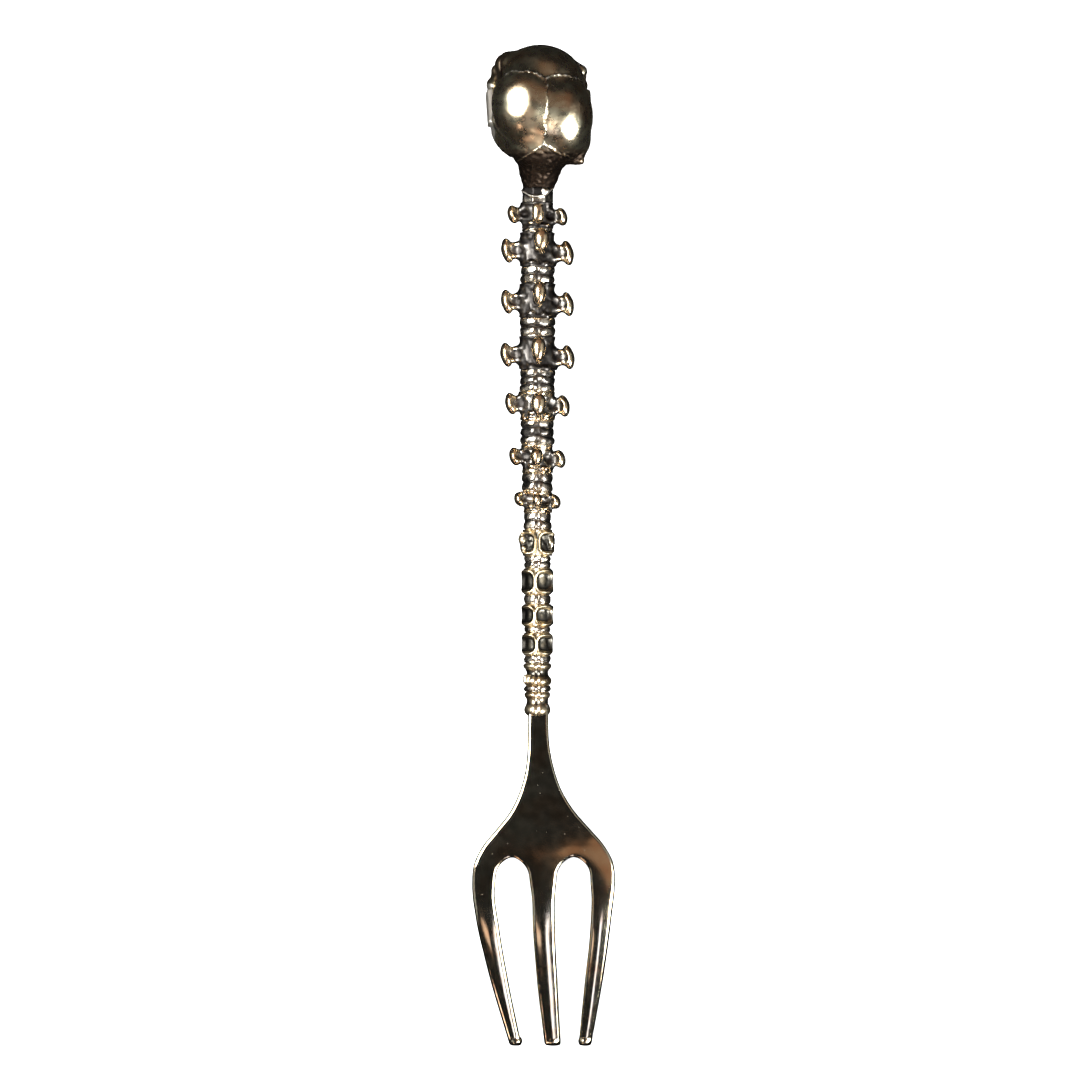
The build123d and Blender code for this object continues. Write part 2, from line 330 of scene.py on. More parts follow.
# Sutures of the crown as seen from above, as (across, along the fork) from the skull's centre.
CORONAL = [(-6.3, 4.0), (-5.9, 4.6), (-4.9, 5.1), (-3.6, 4.85), (-2.5, 5.0), (-1.1, 4.6), (0.4, 3.7),
           (1.4, 4.3), (2.5, 4.45), (4.0, 4.4), (5.4, 3.95), (6.7, 3.6)]
SAGITTAL = [(0.4, 3.7), (0.8, 2.9), (0.5, 1.4), (0.85, 0), (0.7, -1.8), (0.25, -3.0), (0.35, -4.2),
            (0.25, -5.7), (0.1, -7.0)]
LAMBDOID = [(-4.6, -9.7), (-3.4, -9.1), (-2.2, -8.5), (-0.8, -7.7), (0.1, -7.0), (1.3, -7.6),
            (2.5, -8.4), (4.0, -8.8), (6.0, -9.4)]
TEMPLE = [(-6.7, 7.9), (-6.9, 6.5), (-6.6, 4.2)]        # crease between the forehead and left temple
LEFT_SWELLING, RIGHT_SWELLING = (-2.7, -0.2, 1.2), (3.5, -2.2, 0.9)     # centres, as seen
TEETH = 7                                   # on each side of each jaw
FRONT_TEETH = 3                             # of those, the narrower ones
TOOTH_TURN = 13                             # degrees round the jaw from one tooth to the next


def seams(p):
    """1 on the sutures of the crown, which lie where they are seen from above, and 0 off them."""
    sx, sy, sz = skull_to_seen(p)
    wiggle = 0.10 * np.sin(sx * 7.0 + sy * 3.0) * np.cos(sy * 6.0)
    nearest = None
    for line, width in ((CORONAL, 0.13), (SAGITTAL, 0.09), (LAMBDOID, 0.12)):
        gap = line_distance(sx + wiggle, sy + wiggle, line) / width
        nearest = gap if nearest is None else np.minimum(nearest, gap)
    broken = 0.8 + 0.3 * np.sin(sx * 5.1 + 1.0) * np.sin(sy * 4.3)
    return broken * bump_line(nearest, 1) * np.clip(sz - 0.6, 0, 1)


def temple(sx, sy):
    """1 in the crease between the forehead and the left temple."""
    return bump_line(line_distance(sx, sy, TEMPLE), 0.3)


def tooth(number):
    """How far round the jaw a tooth stands from its middle, as across and forward shares."""
    turn = radians(TOOTH_TURN * (number + 0.5))
    return sin(turn), cos(turn)


def cranium_field(p):
    """The braincase and face in skull coordinates (across, forward, up)."""
    x, f, u = p
    side = np.abs(x)
    half = (side, f, u)
    sx, sy, sz = skull_to_seen(p)
    seen = (sx, sy, sz)
    # forehead, the two swellings of the crown, the back of the head
    d = ball(p, (-0.3, 3.4, 0.1), (7.4, 6.6, 6.9))
    d = join(d, ball(seen, LEFT_SWELLING, (5.7, 6.9, 6.7)), 1.0)
    d = join(d, ball(seen, RIGHT_SWELLING, (4.7, 6.8, 6.4)), 1.0)
    # a worn flat on each of the two
    dent = 0.05 * waves(seen, 2.2, 5) + 0.02 * waves(seen, 0.9, 8)
    d = keep(d, plane(seen, LEFT_SWELLING, (-0.296, 0.052, 0.954), 6.3) + dent, 0.35)
    d = keep(d, plane(seen, RIGHT_SWELLING, (0.313, -0.272, 0.91), 6.1) + dent, 0.35)
    d = join(d, ball(p, (0, -2.2, 0.3), (4.4, 6.4, 6.5)), 1.2)
    d = join(d, ball(p, (0, -6.0, -2.8), (5.4, 4.3, 4.4)), 1.6)
    d = join(d, ball(seen, (-0.4, -4.0, -2.6), (8.1, 5.8, 4.6)), 1.4)
    d = join(d, ball(seen, (-5.5, 6.3, -1.2), (2.4, 2.3, 3.0)), 0.8)
    # base, temples and the bumps behind the ears
    d = join(d, ball(p, (0, 1.4, -4.6), (4.4, 6.2, 2.6)), 1.0)
    d = cut(d, ball(half, (9.0, 3.6, -1.2), (1.9, 3.2, 3.4)), 0.8)
    d = join(d, rod(half, (5.7, -2.4, -4.8), (5.3, -1.7, -7.6), 1.5, 0.8), 0.8)
    # brow, cheekbones and cheek arches
    d = join(d, rod(half, (6.9, 7.4, -1.6), (4.2, 9.1, -0.7), 0.85, 0.85), 0.9)
    d = join(d, rod(half, (4.2, 9.1, -0.7), (0.7, 9.7, -1.3), 0.85, 0.8), 0.8)
    d = join(d, ball(half, (6.5, 6.8, -5.4), (1.9, 1.7, 1.5)), 0.8)
    d = join(d, rod(half, (7.2, 6.6, -4.9), (7.0, 7.2, -1.7), 0.85, 0.85), 0.6)
    d = join(d, rod(half, (7.0, 6.4, -4.9), (7.9, 4.2, -4.7), 0.8, 0.6), 0.5)
    d = join(d, rod(half, (7.9, -0.6, -4.6), (6.7, -3.0, -4.3), 0.6, 0.9), 0.5)
    slanted = (side, f, u + 0.5 * (side - 8))
    d = join(d, block(slanted, (8.0, 1.9, -4.5), (0.62, 3.2, 1.0), 0.3), 0.4)
    # upper jaw, nose bridge, eye sockets and nose opening
    d = join(d, ball(p, (0, 5.3, -6.4), (4.3, 4.0, 2.9)), 0.9)
    d = cut(d, ball(half, (3.75, 9.4, -3.35), (2.45, 4.0, 2.0)), 0.5)
    d = cut(d, ball(half, (3.2, 6.4, -3.4), (1.5, 2.6, 1.3)), 0.6)
    d = join(d, rod(half, (7.0, 7.2, -5.0), (2.0, 9.1, -5.0), 0.7, 0.55), 0.5)
    d = join(d, rod(p, (0, 9.2, -1.7), (0, 9.9, -4.3), 0.75, 0.7), 0.6)
    d = cut(d, ball(half, (0.35, 9.9, -5.7), (0.85, 2.2, 1.35)), 0.25)
    d = cut(d, ball(half, (0.55, 9.6, -6.4), (0.6, 1.8, 0.6)), 0.25)
    d = join(d, rod(p, (0, 8.0, -4.6), (0, 8.9, -6.9), 0.14, 0.14), 0.15)
    d = cut(d, ball(p, (0, 4.2, -9.6), (2.5, 3.4, 1.7)), 0.4)
    # upper teeth, each a crown and a root that shows through the gum
    for number in range(TEETH):
        across, ahead = tooth(number)
        tx, tf = 3.6 * across, 5.0 + 3.9 * ahead
        size = 0.86 * (0.46 if number < FRONT_TEETH else 0.5)
        d = join(d, rod(half, (tx * 0.96, tf - 0.15, -6.9), (tx, tf, -8.0), 0.26, 0.36), 0.25)
        d = join(d, block(half, (tx, tf, -8.45), (size, size, 0.62), 0.3), 0.1)
    # nape, running down into the collar, and the rough corner at its right
    d = join(d, rod(seen, (NECK[0], NECK[1] - 1, NECK[2]), (-0.2, -7.4, -1.6), 2.2, 4.6), 0.9)
    d = join(d, ball(seen, (4.9, -6.1, -1.2), (2.9, 3.0, 3.4)), 0.8)
    d = join(d, block(seen, (4.3, -7.6, -1.8), (2.4, 2.2, 2.4), 0.5), 0.5)
    d = keep(d, NECK[1] - sy, 0.1)
    rough = np.clip((-6.8 - sy) / 2.5, 0, 1)
    d = d + rough * (0.13 * waves(p, 1.0, 3) + 0.05 * waves(p, 0.5, 4)) + 0.02 * waves(p, 5.0, 9)
    peel = np.clip((sx - 0.5) / 2, 0, 1) * np.clip((2.5 - sy) / 3, 0, 1)
    d = d + 0.013 * peel * waves(p, 0.55, 6)
    return d - 0.13 * seams(p) + 0.2 * temple(sx, sy)


def cranium_tone(p):
    """Bright sutures, painted shade on the nape and left temple, and a painted highlight on the left
    cheek.
    """
    sx, sy, _ = skull_to_seen(p)
    # painted shade: the nape darker as it turns down, away from the lights, and darkest where it meets
    # the collar
    nape = 0.42 * np.clip((-7.4 - sy) / 1.2, 0, 1)
    nape = nape + 0.3 * np.clip((NECK[1] + 0.6 - sy) / 0.3, 0, 1)
    # painted shade over the left temple beyond its crease; the crease itself is a little darker
    side = 0.22 * np.clip((-6.5 - sx) / 0.3, 0, 1) * np.clip((sy - 3.6) / 0.5, 0, 1)
    # painted highlight: the outer left cheek bar made pale low down, on the left side only
    arch_highlight = 0.24 * np.clip((-p[0] - 7.4) * 3, 0, 1) * np.clip(4.5 - sy, 0, 1)
    arch_highlight = arch_highlight * np.clip(-6 - 2 * p[2], 0, 1)
    return nape + side + 0.1 * temple(sx, sy) - 0.32 * seams(p) - arch_highlight


def mandible_field(p):
    """The lower jaw with its teeth, chin and upright ends, in skull coordinates."""
    x, f, u = p
    half = (np.abs(x), f, u)
    d = rod(half, (6.5, 0.3, -9.6), (5.4, 4.0, -10.9), 1.0, 1.05)
    d = join(d, rod(half, (5.4, 4.0, -10.9), (2.5, 7.3, -11.3), 1.05, 1.05), 0.6)
    d = join(d, rod(half, (2.5, 7.3, -11.3), (0, 7.8, -11.2), 1.05, 1.1), 0.6)
    d = join(d, ball(half, (1.1, 8.0, -11.7), (0.9, 0.6, 0.6)), 0.5)
    d = join(d, rod(half, (5.6, 2.4, -9.9), (3.6, 6.2, -10.3), 0.7, 0.7), 0.6)
    d = join(d, rod(half, (3.6, 6.2, -10.3), (0, 8.2, -10.4), 0.7, 0.65), 0.6)
    d = join(d, block(half, (6.65, 1.2, -7.9), (0.5, 1.5, 2.3), 0.4), 0.6)
    d = join(d, rod(half, (6.65, 2.4, -6.6), (6.65, 2.9, -5.6), 0.5, 0.3), 0.5)
    d = join(d, rod(half, (6.65, 0.8, -6.4), (6.65, 0.9, -5.3), 0.55, 0.62), 0.4)
    for number in range(TEETH):
        across, ahead = tooth(number)
        size = 0.86 * (0.4 if number < FRONT_TEETH else 0.48)
        crown = (3.4 * across, 4.9 + 3.7 * ahead, -9.62)
        d = join(d, block(half, crown, (size, size, 0.55), 0.28), 0.12)
    return d + 0.02 * waves(p, 1.0, 5)


PIN_F, PIN_U = 1.0, -5.4                    # the jaw's hinge line, forward and up
PIN_ENDS, PIN_RADIUS = (5.1, 6.95), 0.4


def pins_field(p):
    """The two pins that hold the jaw, one on each side."""
    inner, outer = ((end, PIN_F, PIN_U) for end in PIN_ENDS)
    return rod((np.abs(p[0]), p[1], p[2]), inner, outer, PIN_RADIUS, PIN_RADIUS)


# ---------------- spine

# Vertebrae with arms: how far up the arms stand and half the length of their paddles, then of the
# spinous process's bead how far up and to the right it stands, half its width and half its length.
ARMED = {1: (0.0, 1.5, 0.3, 0.1, 0.95, 1.45), 2: (-0.4, 2.05, 1.4, 0.65, 1.25, 1.95),
         3: (-0.4, 2.0, 1.1, 0.36, 1.08, 1.95), 4: (-0.5, 2.0, 0.5, 0.2, 1.15, 2.1),
         5: (0.2, 1.8, 0.2, 0.2, 1.2, 1.9), 6: (0.2, 1.5, 0.3, -0.1, 1.0, 1.55),
         7: (0.3, 1.2, 0.3, 0.0, 0.8, 1.25)}


def sizes(low, high):
    """Half a spine piece's length and width, and its reach below and above the handle's line."""
    return (high[1] - low[1]) / 2, (high[0] - low[0]) / 2, handle_z - low[2], high[2] - handle_z


def bead_field(p, top, number):
    """The smooth bead along the top of a spinous process, a squarer one on the first vertebra."""
    up, off, width, length = ARMED[number][2:]
    if number == 1:
        domed = p[2] + 0.3 * ((p[0] - off) / width) ** 2 + 0.3 * ((p[1] - up) / length) ** 2
        return block((p[0], p[1], domed), (off, up, top - 0.8), (width, length, 0.8), 0.45)
    y = p[1] - up
    narrow = 1 + 0.16 * np.clip(y / length, -1, 1)
    return ball(((p[0] - off) / narrow, y, p[2]), (0, 0, top - 1.1), (width, length, 1.1))


def vertebra_field(low, high, number):
    """The field of one vertebra with side processes and a spinous process, about its middle."""
    half, reach, core, top = sizes(low, high)
    rise = 0.5                              # the arms leave the body this far above its middle
    arms_up, paddle, up, off, width, length = ARMED[number]
    root = min(2.1, half * 0.8)             # half width of an arm where it leaves the body
    neck = paddle * 0.56

    def field(p):
        x, y, z = p
        ahead = y - arms_up + 0.2 * np.tanh(x * 2)      # the right side sits a little lower
        arm = (np.abs(x + 0.14 * ahead), ahead, z)
        round_ = np.sqrt(x * x + z * z)
        waist = core - 0.4 + 0.4 * (np.abs(y) / half) ** 3
        d = keep(round_ - waist, np.abs(y) - half, 0.3)
        # arms: thick where they leave the body, each ending in an upright paddle scooped on its inside
        flat = (arm[0], arm[1], rise + 1.3 * (z - rise))
        d = join(d, rod(flat, (core * 0.4, 0, rise - 0.3), (reach - 1.2, 0, rise), root, neck), 1.1)
        d = join(d, ball(arm, (reach - 0.95, 0, rise), (1.0, paddle, 1.3)), 0.5)
        for face in (-1, 1):
            scoop = (reach - 2.25, 0.1, rise + face * 1.35)
            d = cut(d, ball(arm, scoop, (1.3, paddle * 0.66, 0.85)), 0.35)
        # joints below the bead, and on the smaller ones a hollow on each side of it
        d = join(d, ball(arm, (core * 0.32, -half * 0.7, core * 0.76), (0.85, half * 0.2, 0.65)), 0.2)
        if number > 4:
            d = cut(d, ball(arm, (core * 0.52, 0, core * 0.98), (0.6, half * 0.56, 0.62)), 0.2)
        rough = np.clip(1.6 - (arm[0] - core * 0.7) / 0.9, 0.15, 1)
        d = d + rough * (0.1 * waves(p, 1.3, number) + 0.03 * waves(p, 0.7, number + 40))
        # spinous process: a stem that carries a long smooth bead, with a small bead at its foot
        stem = (0.6 * off, up * 0.7, top / 2)
        groove = (off, up * 0.8, core + 0.3)
        d = join(d, block(p, stem, (width * 0.6, length * 0.7, top / 2 - 0.6), 0.4), 0.4)
        d = cut(d, ball(p, groove, (width * 1.4, length * 1.1, 0.4)), 0.2)
        d = join(d, block(p, stem, (width * 0.5, length * 0.66, top / 2 - 0.6), 0.3), 0.15)
        d = join(d, bead_field(p, top, number), 0.08)
        foot = (off + 0.05, up - length * 0.99, top - 1.9)
        return join(d, ball(p, foot, (0.42, 0.4, 0.6)), 0.1)

    return field


def vertebra_tone(low, high, number):
    """Where a vertebra is worn bright or stays dark: its bead and paddles against its body."""
    half, reach, core, top = sizes(low, high)

    def tone(p):
        x, y, z = p
        round_ = np.sqrt(x * x + z * z)
        body = np.clip((core + 0.6 - round_) * 2, 0, 1)
        bead = np.clip(1 - bead_field(p, top, number) * 5, 0, 1)
        tips = np.clip((np.abs(x) - reach + 1.2) / 0.6, 0, 1)
        ends = np.clip((np.abs(y) - half + 0.9) * 2, 0, 1) * (0.22 if number < 5 else 0.06)
        drum = (0.15 if number < 5 else 0.05) * body
        return drum + ends * (1 - bead) - 0.11 * bead - 0.08 * tips

    return tone


HOLLOWS = [radians(angle) for angle in (45, -45, 135, -135)]    # from the ridge, round the body
# Vertebrae with hollows, and how far each is turned round the handle.
LOW_TURNS = {8: radians(0), 9: radians(-9), 10: radians(-11), 11: radians(-3)}


def hollow_edges(p, half, number):
    """For each hollow round a lower vertebra, 0 at its middle and 1 on its edge."""
    angle = np.arctan2(p[0], p[2]) - LOW_TURNS[number]
    width = 0.62 if number == 8 else 0.73
    for centre in HOLLOWS:
        gap = (angle - centre + pi) % (2 * pi) - pi
        yield (np.abs(gap / width) ** 2.8 + np.abs(p[1] / (half * 0.8)) ** 2.8) ** (1 / 2.8)


def low_vertebra_field(low, high, number):
    """One of the lower vertebrae: a short drum with hollows inside rounded rims that meet in a cross."""
    half, reach, core, _ = sizes(low, high)
    uneven = 0.08 if number == 8 else 0.02

    def field(p):
        x, y, z = p
        round_ = np.sqrt((x * core / reach) ** 2 + z * z)
        rim, hollow = 0, 0
        for edge in hollow_edges(p, half, number):
            rim = np.maximum(rim, bump_line(edge - 1, 0.17))
            hollow = np.maximum(hollow, np.clip((0.85 - edge) * 3, 0, 1))
        waist = 0.22 * (1 - (y / half) ** 2)
        radius = core - 0.42 - waist + 0.5 * rim - 0.12 * hollow
        d = keep(0.75 * (round_ - radius), np.abs(y) - half, 0.15)
        if number == 8:                     # the last stubs of arms
            d = join(d, ball(p, (-2.4, 0.5, 0.7), (0.7, 0.9, 0.8)), 0.3)
            d = join(d, ball(p, (-2.2, -0.9, 0.8), (0.6, 0.6, 0.7)), 0.3)
            d = join(d, ball(p, (2.2, 0.1, 0.7), (0.6, 1.3, 0.8)), 0.3)
        return d + uneven * waves(p, 0.9, number)

    return field


def low_vertebra_tone(low, high, number):
    """Bright on the rims and a little dark in the hollows, with painted shade down both sides."""
    half = sizes(low, high)[0]

    def tone(p):
        rim, inside = 0, 0
        for edge in hollow_edges(p, half, number):
            rim = np.maximum(rim, bump_line(edge - 1, 0.17))
            inside = np.maximum(inside, np.clip((1 - edge) * 4, 0, 1))
        # painted shade down both sides, where the drum turns away from above, and the rims there kept
        # from going bright
        side_shade = np.clip(np.abs(np.sin(np.arctan2(p[0], p[2]))) * 8 - 7, 0, 1)
        return 0.15 - 0.03 * inside - 0.2 * rim * (1 - side_shade) + 0.15 * side_shade

    return tone


# Outlines of the two vertebrae above the neck, as (along the piece, share of its full radius).
ENDS = {12: [(-1, 0.8), (-0.85, 0.93), (-0.6, 1.0), (-0.35, 0.95), (-0.1, 0.8), (0.15, 0.76),
             (0.4, 0.84), (0.58, 0.96), (0.76, 1.0), (0.92, 0.95), (1, 0.84)],
        13: [(-1, 0.62), (-0.88, 0.78), (-0.7, 0.94), (-0.45, 1.0), (-0.2, 0.95), (0.02, 0.84),
             (0.22, 0.8), (0.44, 0.84), (0.6, 0.94), (0.76, 0.98), (0.9, 0.94), (1, 0.82)]}


def end_share(y, half, number):
    """The share of its full radius that an end vertebra has this far along it."""
    return np.interp(y / half, *smooth_line(ENDS[number], 0.02).T)


def middle_crease(p, depth):
    """How far a piece is pinched in along the middle of its back."""
    angle = np.arctan2(p[0], p[2])
    return depth * bump_line(angle, 0.16)


def end_vertebra_field(low, high, number):
    """The two plain ones above the neck, waisted between thick rounded rims."""
    half, core = sizes(low, high)[:2]

    def field(p):
        x, y, z = p
        round_ = np.sqrt(x * x + z * z) + middle_crease(p, 0.2)
        profile = core * end_share(y, half, number)
        d = keep(0.75 * (round_ - profile), np.abs(y) - half, 0.12)
        if number == 12:                    # a lump at its left
            d = join(d, block(p, (-1.55, -0.8, 0.9), (0.8, 0.75, 0.85), 0.4), 0.15)
        return d + 0.01 * waves(p, 0.9, number)

    return field


def end_vertebra_tone(low, high, number):
    """Dark in the waist and bright on the rims."""
    half = sizes(low, high)[0]
    return lambda p: 0.1 - 0.12 * np.clip((end_share(p[1], half, number) - 0.86) / 0.1, 0, 1)


def disc_field(low, high, number):
    """A washer with rounded rings round it, creased along its back and worn unevenly."""
    half, core = sizes(low, high)[:2]
    count = 3 if half > 1.7 else 2 if half > 0.9 else 1     # rings, by the disc's length
    gap = 2 * half / count

    def field(p):
        x, y, z = p
        angle = np.arctan2(x, z)
        round_ = np.sqrt(x * x + z * z) + middle_crease(p, 0.14)
        slip = y - 0.26 * bump_line(angle, 0.6) + 0.14 * waves(p, 2.4, number + 30)
        share = (slip / gap + count / 2) % 1 * 2 - 1
        ring = np.sqrt(np.maximum(1 - share * share, 0))
        worn = 0.32 + 0.12 * waves(p, 1.8, number + 50)
        profile = core - 0.4 + worn * ring + 0.07 * waves(p, 1.4, number + 70)
        return keep(0.8 * (round_ - np.minimum(profile, core)), np.abs(y) - half, 0.05)

    return field


def disc_tone(low, high, number):
    """Worn patches of the rings, one here and one there."""
    return lambda p: 0.05 + 0.04 * waves(p, 1.5, number + 90)


COLLAR_FACETS = (42, 84, 128, 170, 230, 300)        # degrees round the handle from the right
COLLAR_LOBE = (0.7, 0.6, 0.6)               # half sizes of the lump at the right of its edge


def collar_lobe(p, half, core):
    """The field of the lump where the scalloped edge ends at the right."""
    return ball(p, (1.3, half - 0.6, core * 0.72), COLLAR_LOBE)


def collar_edge(p, half, core):
    """How far a point of the collar lies above the scalloped edge of the nape."""
    return p[1] - half + 1.5 - 1.3 * ((p[0] + 0.2) / core) ** 2


def collar_field(low, high, number):
    """The short plain ring under the skull, faceted, with the nape's scalloped edge lying over it."""
    half, core = sizes(low, high)[:2]

    def field(p):
        x, y, z = p
        d = np.sqrt(x * x + z * z) - core + 0.1
        for turn in COLLAR_FACETS:
            d = keep(d, x * cos(radians(turn)) + z * sin(radians(turn)) - core + 0.32, 0.12)
        edge = collar_edge(p, half, core)
        d = d - 0.26 * bump_line(edge, 0.2) - 0.08 * np.clip(edge, 0, 1)
        d = join(d, collar_lobe(p, half, core), 0.2)
        d = d - 0.1 * bump_line(x + 0.75, 0.12) * np.clip(-edge * 3, 0, 1)
        return keep(d, np.abs(y) - half, 0.08) + 0.03 * waves(p, 1.0, number)

    return field


def collar_tone(low, high, number):
    """A bright scalloped edge, a painted highlight on a flat face at the right and painted shade on the
    nape above.
    """
    half, core = sizes(low, high)[:2]

    def tone(p):
        edge = collar_edge(p, half, core)
        lobe = np.clip(1 - collar_lobe(p, half, core) * 5, 0, 1)
        # painted highlight: a flat face at the right made pale below the scalloped edge
        facet_highlight = np.clip(p[0] * 3, 0, 1) * np.clip(2.3 - p[0], 0, 1) * np.clip(-edge * 3, 0, 1)
        # painted shade: above the scalloped edge, away from the lump, the nape made dark
        dark = 0.3 * np.clip(edge * 3 - 0.5, 0, 1) * (1 - lobe)
        return dark + 0.06 - 0.34 * bump_line(edge, 0.17) - 0.24 * facet_highlight - 0.2 * lobe

    return tone


# ---------------- fork head

# Outlines in plan, as (across from the head's middle, along from the tine tips).
LEFT_EDGE = [(-2.5, 57.0), (-2.55, 53.5), (-2.6, 50.6), (-2.85, 46.6), (-3.9, 42.4), (-5.4, 39.2),
             (-7.8, 36.1), (-10.2, 33.1), (-11.5, 30.2), (-11.75, 27.0), (-11.2, 21.8), (-9.4, 13.5),
             (-5.6, 0)]
LEFT_GAP = [(-3.6, 0), (-5.7, 10.5), (-7.2, 19.5), (-7.95, 26.6), (-7.2, 30.3), (-5.15, 31.6),
            (-3.0, 30.2), (-2.15, 26.6), (-1.75, 19.5), (-1.05, 10.5), (0.2, 0)]
RIGHT_GAP = [(2.9, 0), (2.35, 10.5), (1.95, 19.5), (2.05, 26.6), (2.75, 30.2), (5.0, 31.7),
             (7.1, 30.3), (7.75, 26.6), (7.65, 19.5), (6.75, 10.5), (5.8, 0)]
RIGHT_EDGE = [(7.9, 0), (10.2, 13.5), (11.3, 22.5), (11.75, 27.6), (11.45, 30.8), (10.0, 33.5),
              (7.6, 36.3), (5.1, 39.2), (3.1, 42.4), (1.5, 47.2), (0.95, 50.6), (0.85, 53.5),
              (0.85, 57.0)]
# Heights above the table, as (along from the tine tips, middle of the thickness, thickness).
HEAD_SIDE = [(0, 0.95, 1.9), (5, 2.95, 2.1), (12, 5.8, 2.2), (20, 8.6, 2.3), (26, 10.15, 2.3),
             (32, 11.15, 2.3), (38, 11.45, 2.35), (44, 11.2, 2.6), (49.5, 10.9, 3.0), (57, 10.9, 3.0)]
TIP_ROUNDING = 0.5                          # how far the outline's corners are rounded off
TIPS = (-4.55, 1.55, 6.85)                  # the middle of each tine's tip
TIP_BEAD = (1.1, 0.82, 1.0)                 # half sizes of the bead that ends each tine
BOW = 0.32                                  # how much the palm is bowed across its width
BOW_HALF = 11                               # half the width that it is bowed over
RIM = 0.4                                   # rounding of the head's edges
PLAN_STEP = 0.2                             # of the plan grid, and of the points of its outline
PLAN_LOW, PLAN_HIGH = (-13, -1.5), (13, 59)
TANG_RADIUS = 1.1


def even_loop(points, gap, rounding):
    """A closed line resampled evenly, with its corners rounded off."""
    closed = np.concatenate([points, points[:1]])
    run = np.concatenate([[0], np.cumsum(np.linalg.norm(np.diff(closed, axis=0), axis=1))])
    at = np.linspace(0, run[-1], round(run[-1] / gap), endpoint=False)
    loop = np.stack([np.interp(at, run, closed[:, i]) for i in range(2)], axis=1)
    reach = round(rounding / gap)
    return sum(np.roll(loop, shift, axis=0) for shift in range(-reach, reach + 1)) / (2 * reach + 1)


def plan_grid():
    """Distances in plan from the fork head's outline, negative inside it."""
    sides = [smooth_line(line) for line in (LEFT_EDGE, LEFT_GAP, RIGHT_GAP, RIGHT_EDGE)]
    outline = even_loop(np.concatenate(sides), PLAN_STEP, TIP_ROUNDING)
    axes = [np.arange(PLAN_LOW[i], PLAN_HIGH[i], PLAN_STEP) for i in range(2)]
    x, y = np.meshgrid(*axes, indexing="ij")
    nearest = np.full(x.shape, 1e9)
    inside = np.zeros(x.shape, dtype=bool)
    for (ax, ay), (bx, by) in zip(outline, np.roll(outline, -1, axis=0)):
        ux, uy = bx - ax, by - ay
        t = np.clip(((x - ax) * ux + (y - ay) * uy) / (ux * ux + uy * uy), 0, 1)
        nearest = np.minimum(nearest, (x - ax - t * ux) ** 2 + (y - ay - t * uy) ** 2)
        if ay != by:
            inside ^= ((ay > y) != (by > y)) & (x < ux * (y - ay) / uy + ax)
    return np.sqrt(nearest) * np.where(inside, -1, 1)


PLAN = plan_grid()
SIDE_LINE = smooth_line([(s, m) for s, m, _ in HEAD_SIDE])
THICK_LINE = smooth_line([(s, t) for s, _, t in HEAD_SIDE])


def plan_distance(x, y):
    """The plan distances read between the grid's points."""
    gx = np.clip((x - PLAN_LOW[0]) / PLAN_STEP, 0, PLAN.shape[0] - 1.001)
    gy = np.clip((y - PLAN_LOW[1]) / PLAN_STEP, 0, PLAN.shape[1] - 1.001)
    ix, iy = np.floor(gx).astype(int), np.floor(gy).astype(int)
    tx, ty = gx - ix, gy - iy
    near = PLAN[ix, iy] * (1 - ty) + PLAN[ix, iy + 1] * ty
    far = PLAN[ix + 1, iy] * (1 - ty) + PLAN[ix + 1, iy + 1] * ty
    return near * (1 - tx) + far * tx


def fork_field(tang_x, tang_z, tang_end):
    """The fork head about (head's middle, tine tips, table), with the tang that carries the spine."""
    neck = LEFT_EDGE[0][1]

    def field(p):
        x, y, z = p
        plan = plan_distance(x, y)
        bow = BOW * np.interp(y, (0, 12, 34, 46), (0.3, 1, 1, 0))
        middle = np.interp(y, *SIDE_LINE.T) - bow * (x / BOW_HALF) ** 2
        slope = np.interp(y + 0.5, *SIDE_LINE.T) - np.interp(y - 0.5, *SIDE_LINE.T)
        half = np.interp(y, *THICK_LINE.T) / 2
        crown = np.interp(y, (18, 30), (0.2, 0.04)) * np.clip(1 + plan / 2.0, 0, 1) ** 2
        thick = (np.abs(z - middle) - half + crown) / np.sqrt(1 + slope * slope)
        qx, qz = plan + RIM, thick + RIM
        d = (np.sqrt(np.maximum(qx, 0) ** 2 + np.maximum(qz, 0) ** 2)
             + np.minimum(np.maximum(qx, qz), 0) - RIM)
        for tip in TIPS:
            d = join(d, ball(p, (tip, TIP_BEAD[1], 1.35), TIP_BEAD), 0.2)
        d = np.maximum(d, y - neck)
        d = d + 0.012 * waves(p, 5.0, 11)
        root, end = (tang_x, neck - 2, tang_z), (tang_x, tang_end - TANG_RADIUS, tang_z)
        return join(d, rod(p, root, end, TANG_RADIUS, TANG_RADIUS), 0.1)

    return field


# ---------------- materials

def node(tree, kind, **sockets):
    """Adds a shader node and sets its sockets, each to a value or from another node's output.

    A socket's name has _ for a space, and _0 is the first socket, whatever it is called.
    """
    made = tree.nodes.new(kind)
    for title, value in sockets.items():
        target = made.inputs[int(title[1:]) if title[0] == "_" else title.replace("_", " ")]
        if isinstance(value, bpy.types.NodeSocket):
            tree.links.new(value, target)
        else:
            target.default_value = value
    return made


def ramp(tree, value, low, high, low_out=0.0, high_out=1.0):
    """A smooth step from low_out to high_out as the value goes from low to high."""
    made = node(tree, "ShaderNodeMapRange", Value=value, From_Min=low, From_Max=high,
                To_Min=low_out, To_Max=high_out)
    made.interpolation_type = "SMOOTHSTEP"
    return made.outputs["Result"]


def between(tree, share, low_out, high_out):
    """A value that runs evenly from low_out to high_out as the share goes from 0 to 1."""
    made = node(tree, "ShaderNodeMapRange", Value=share, To_Min=low_out, To_Max=high_out)
    return made.outputs["Result"]


def combine(tree, kind, *values):
    """Two or three values put together by a Math node."""
    made = node(tree, "ShaderNodeMath", **{f"_{i}": value for i, value in enumerate(values)})
    made.operation = kind
    return made.outputs[0]


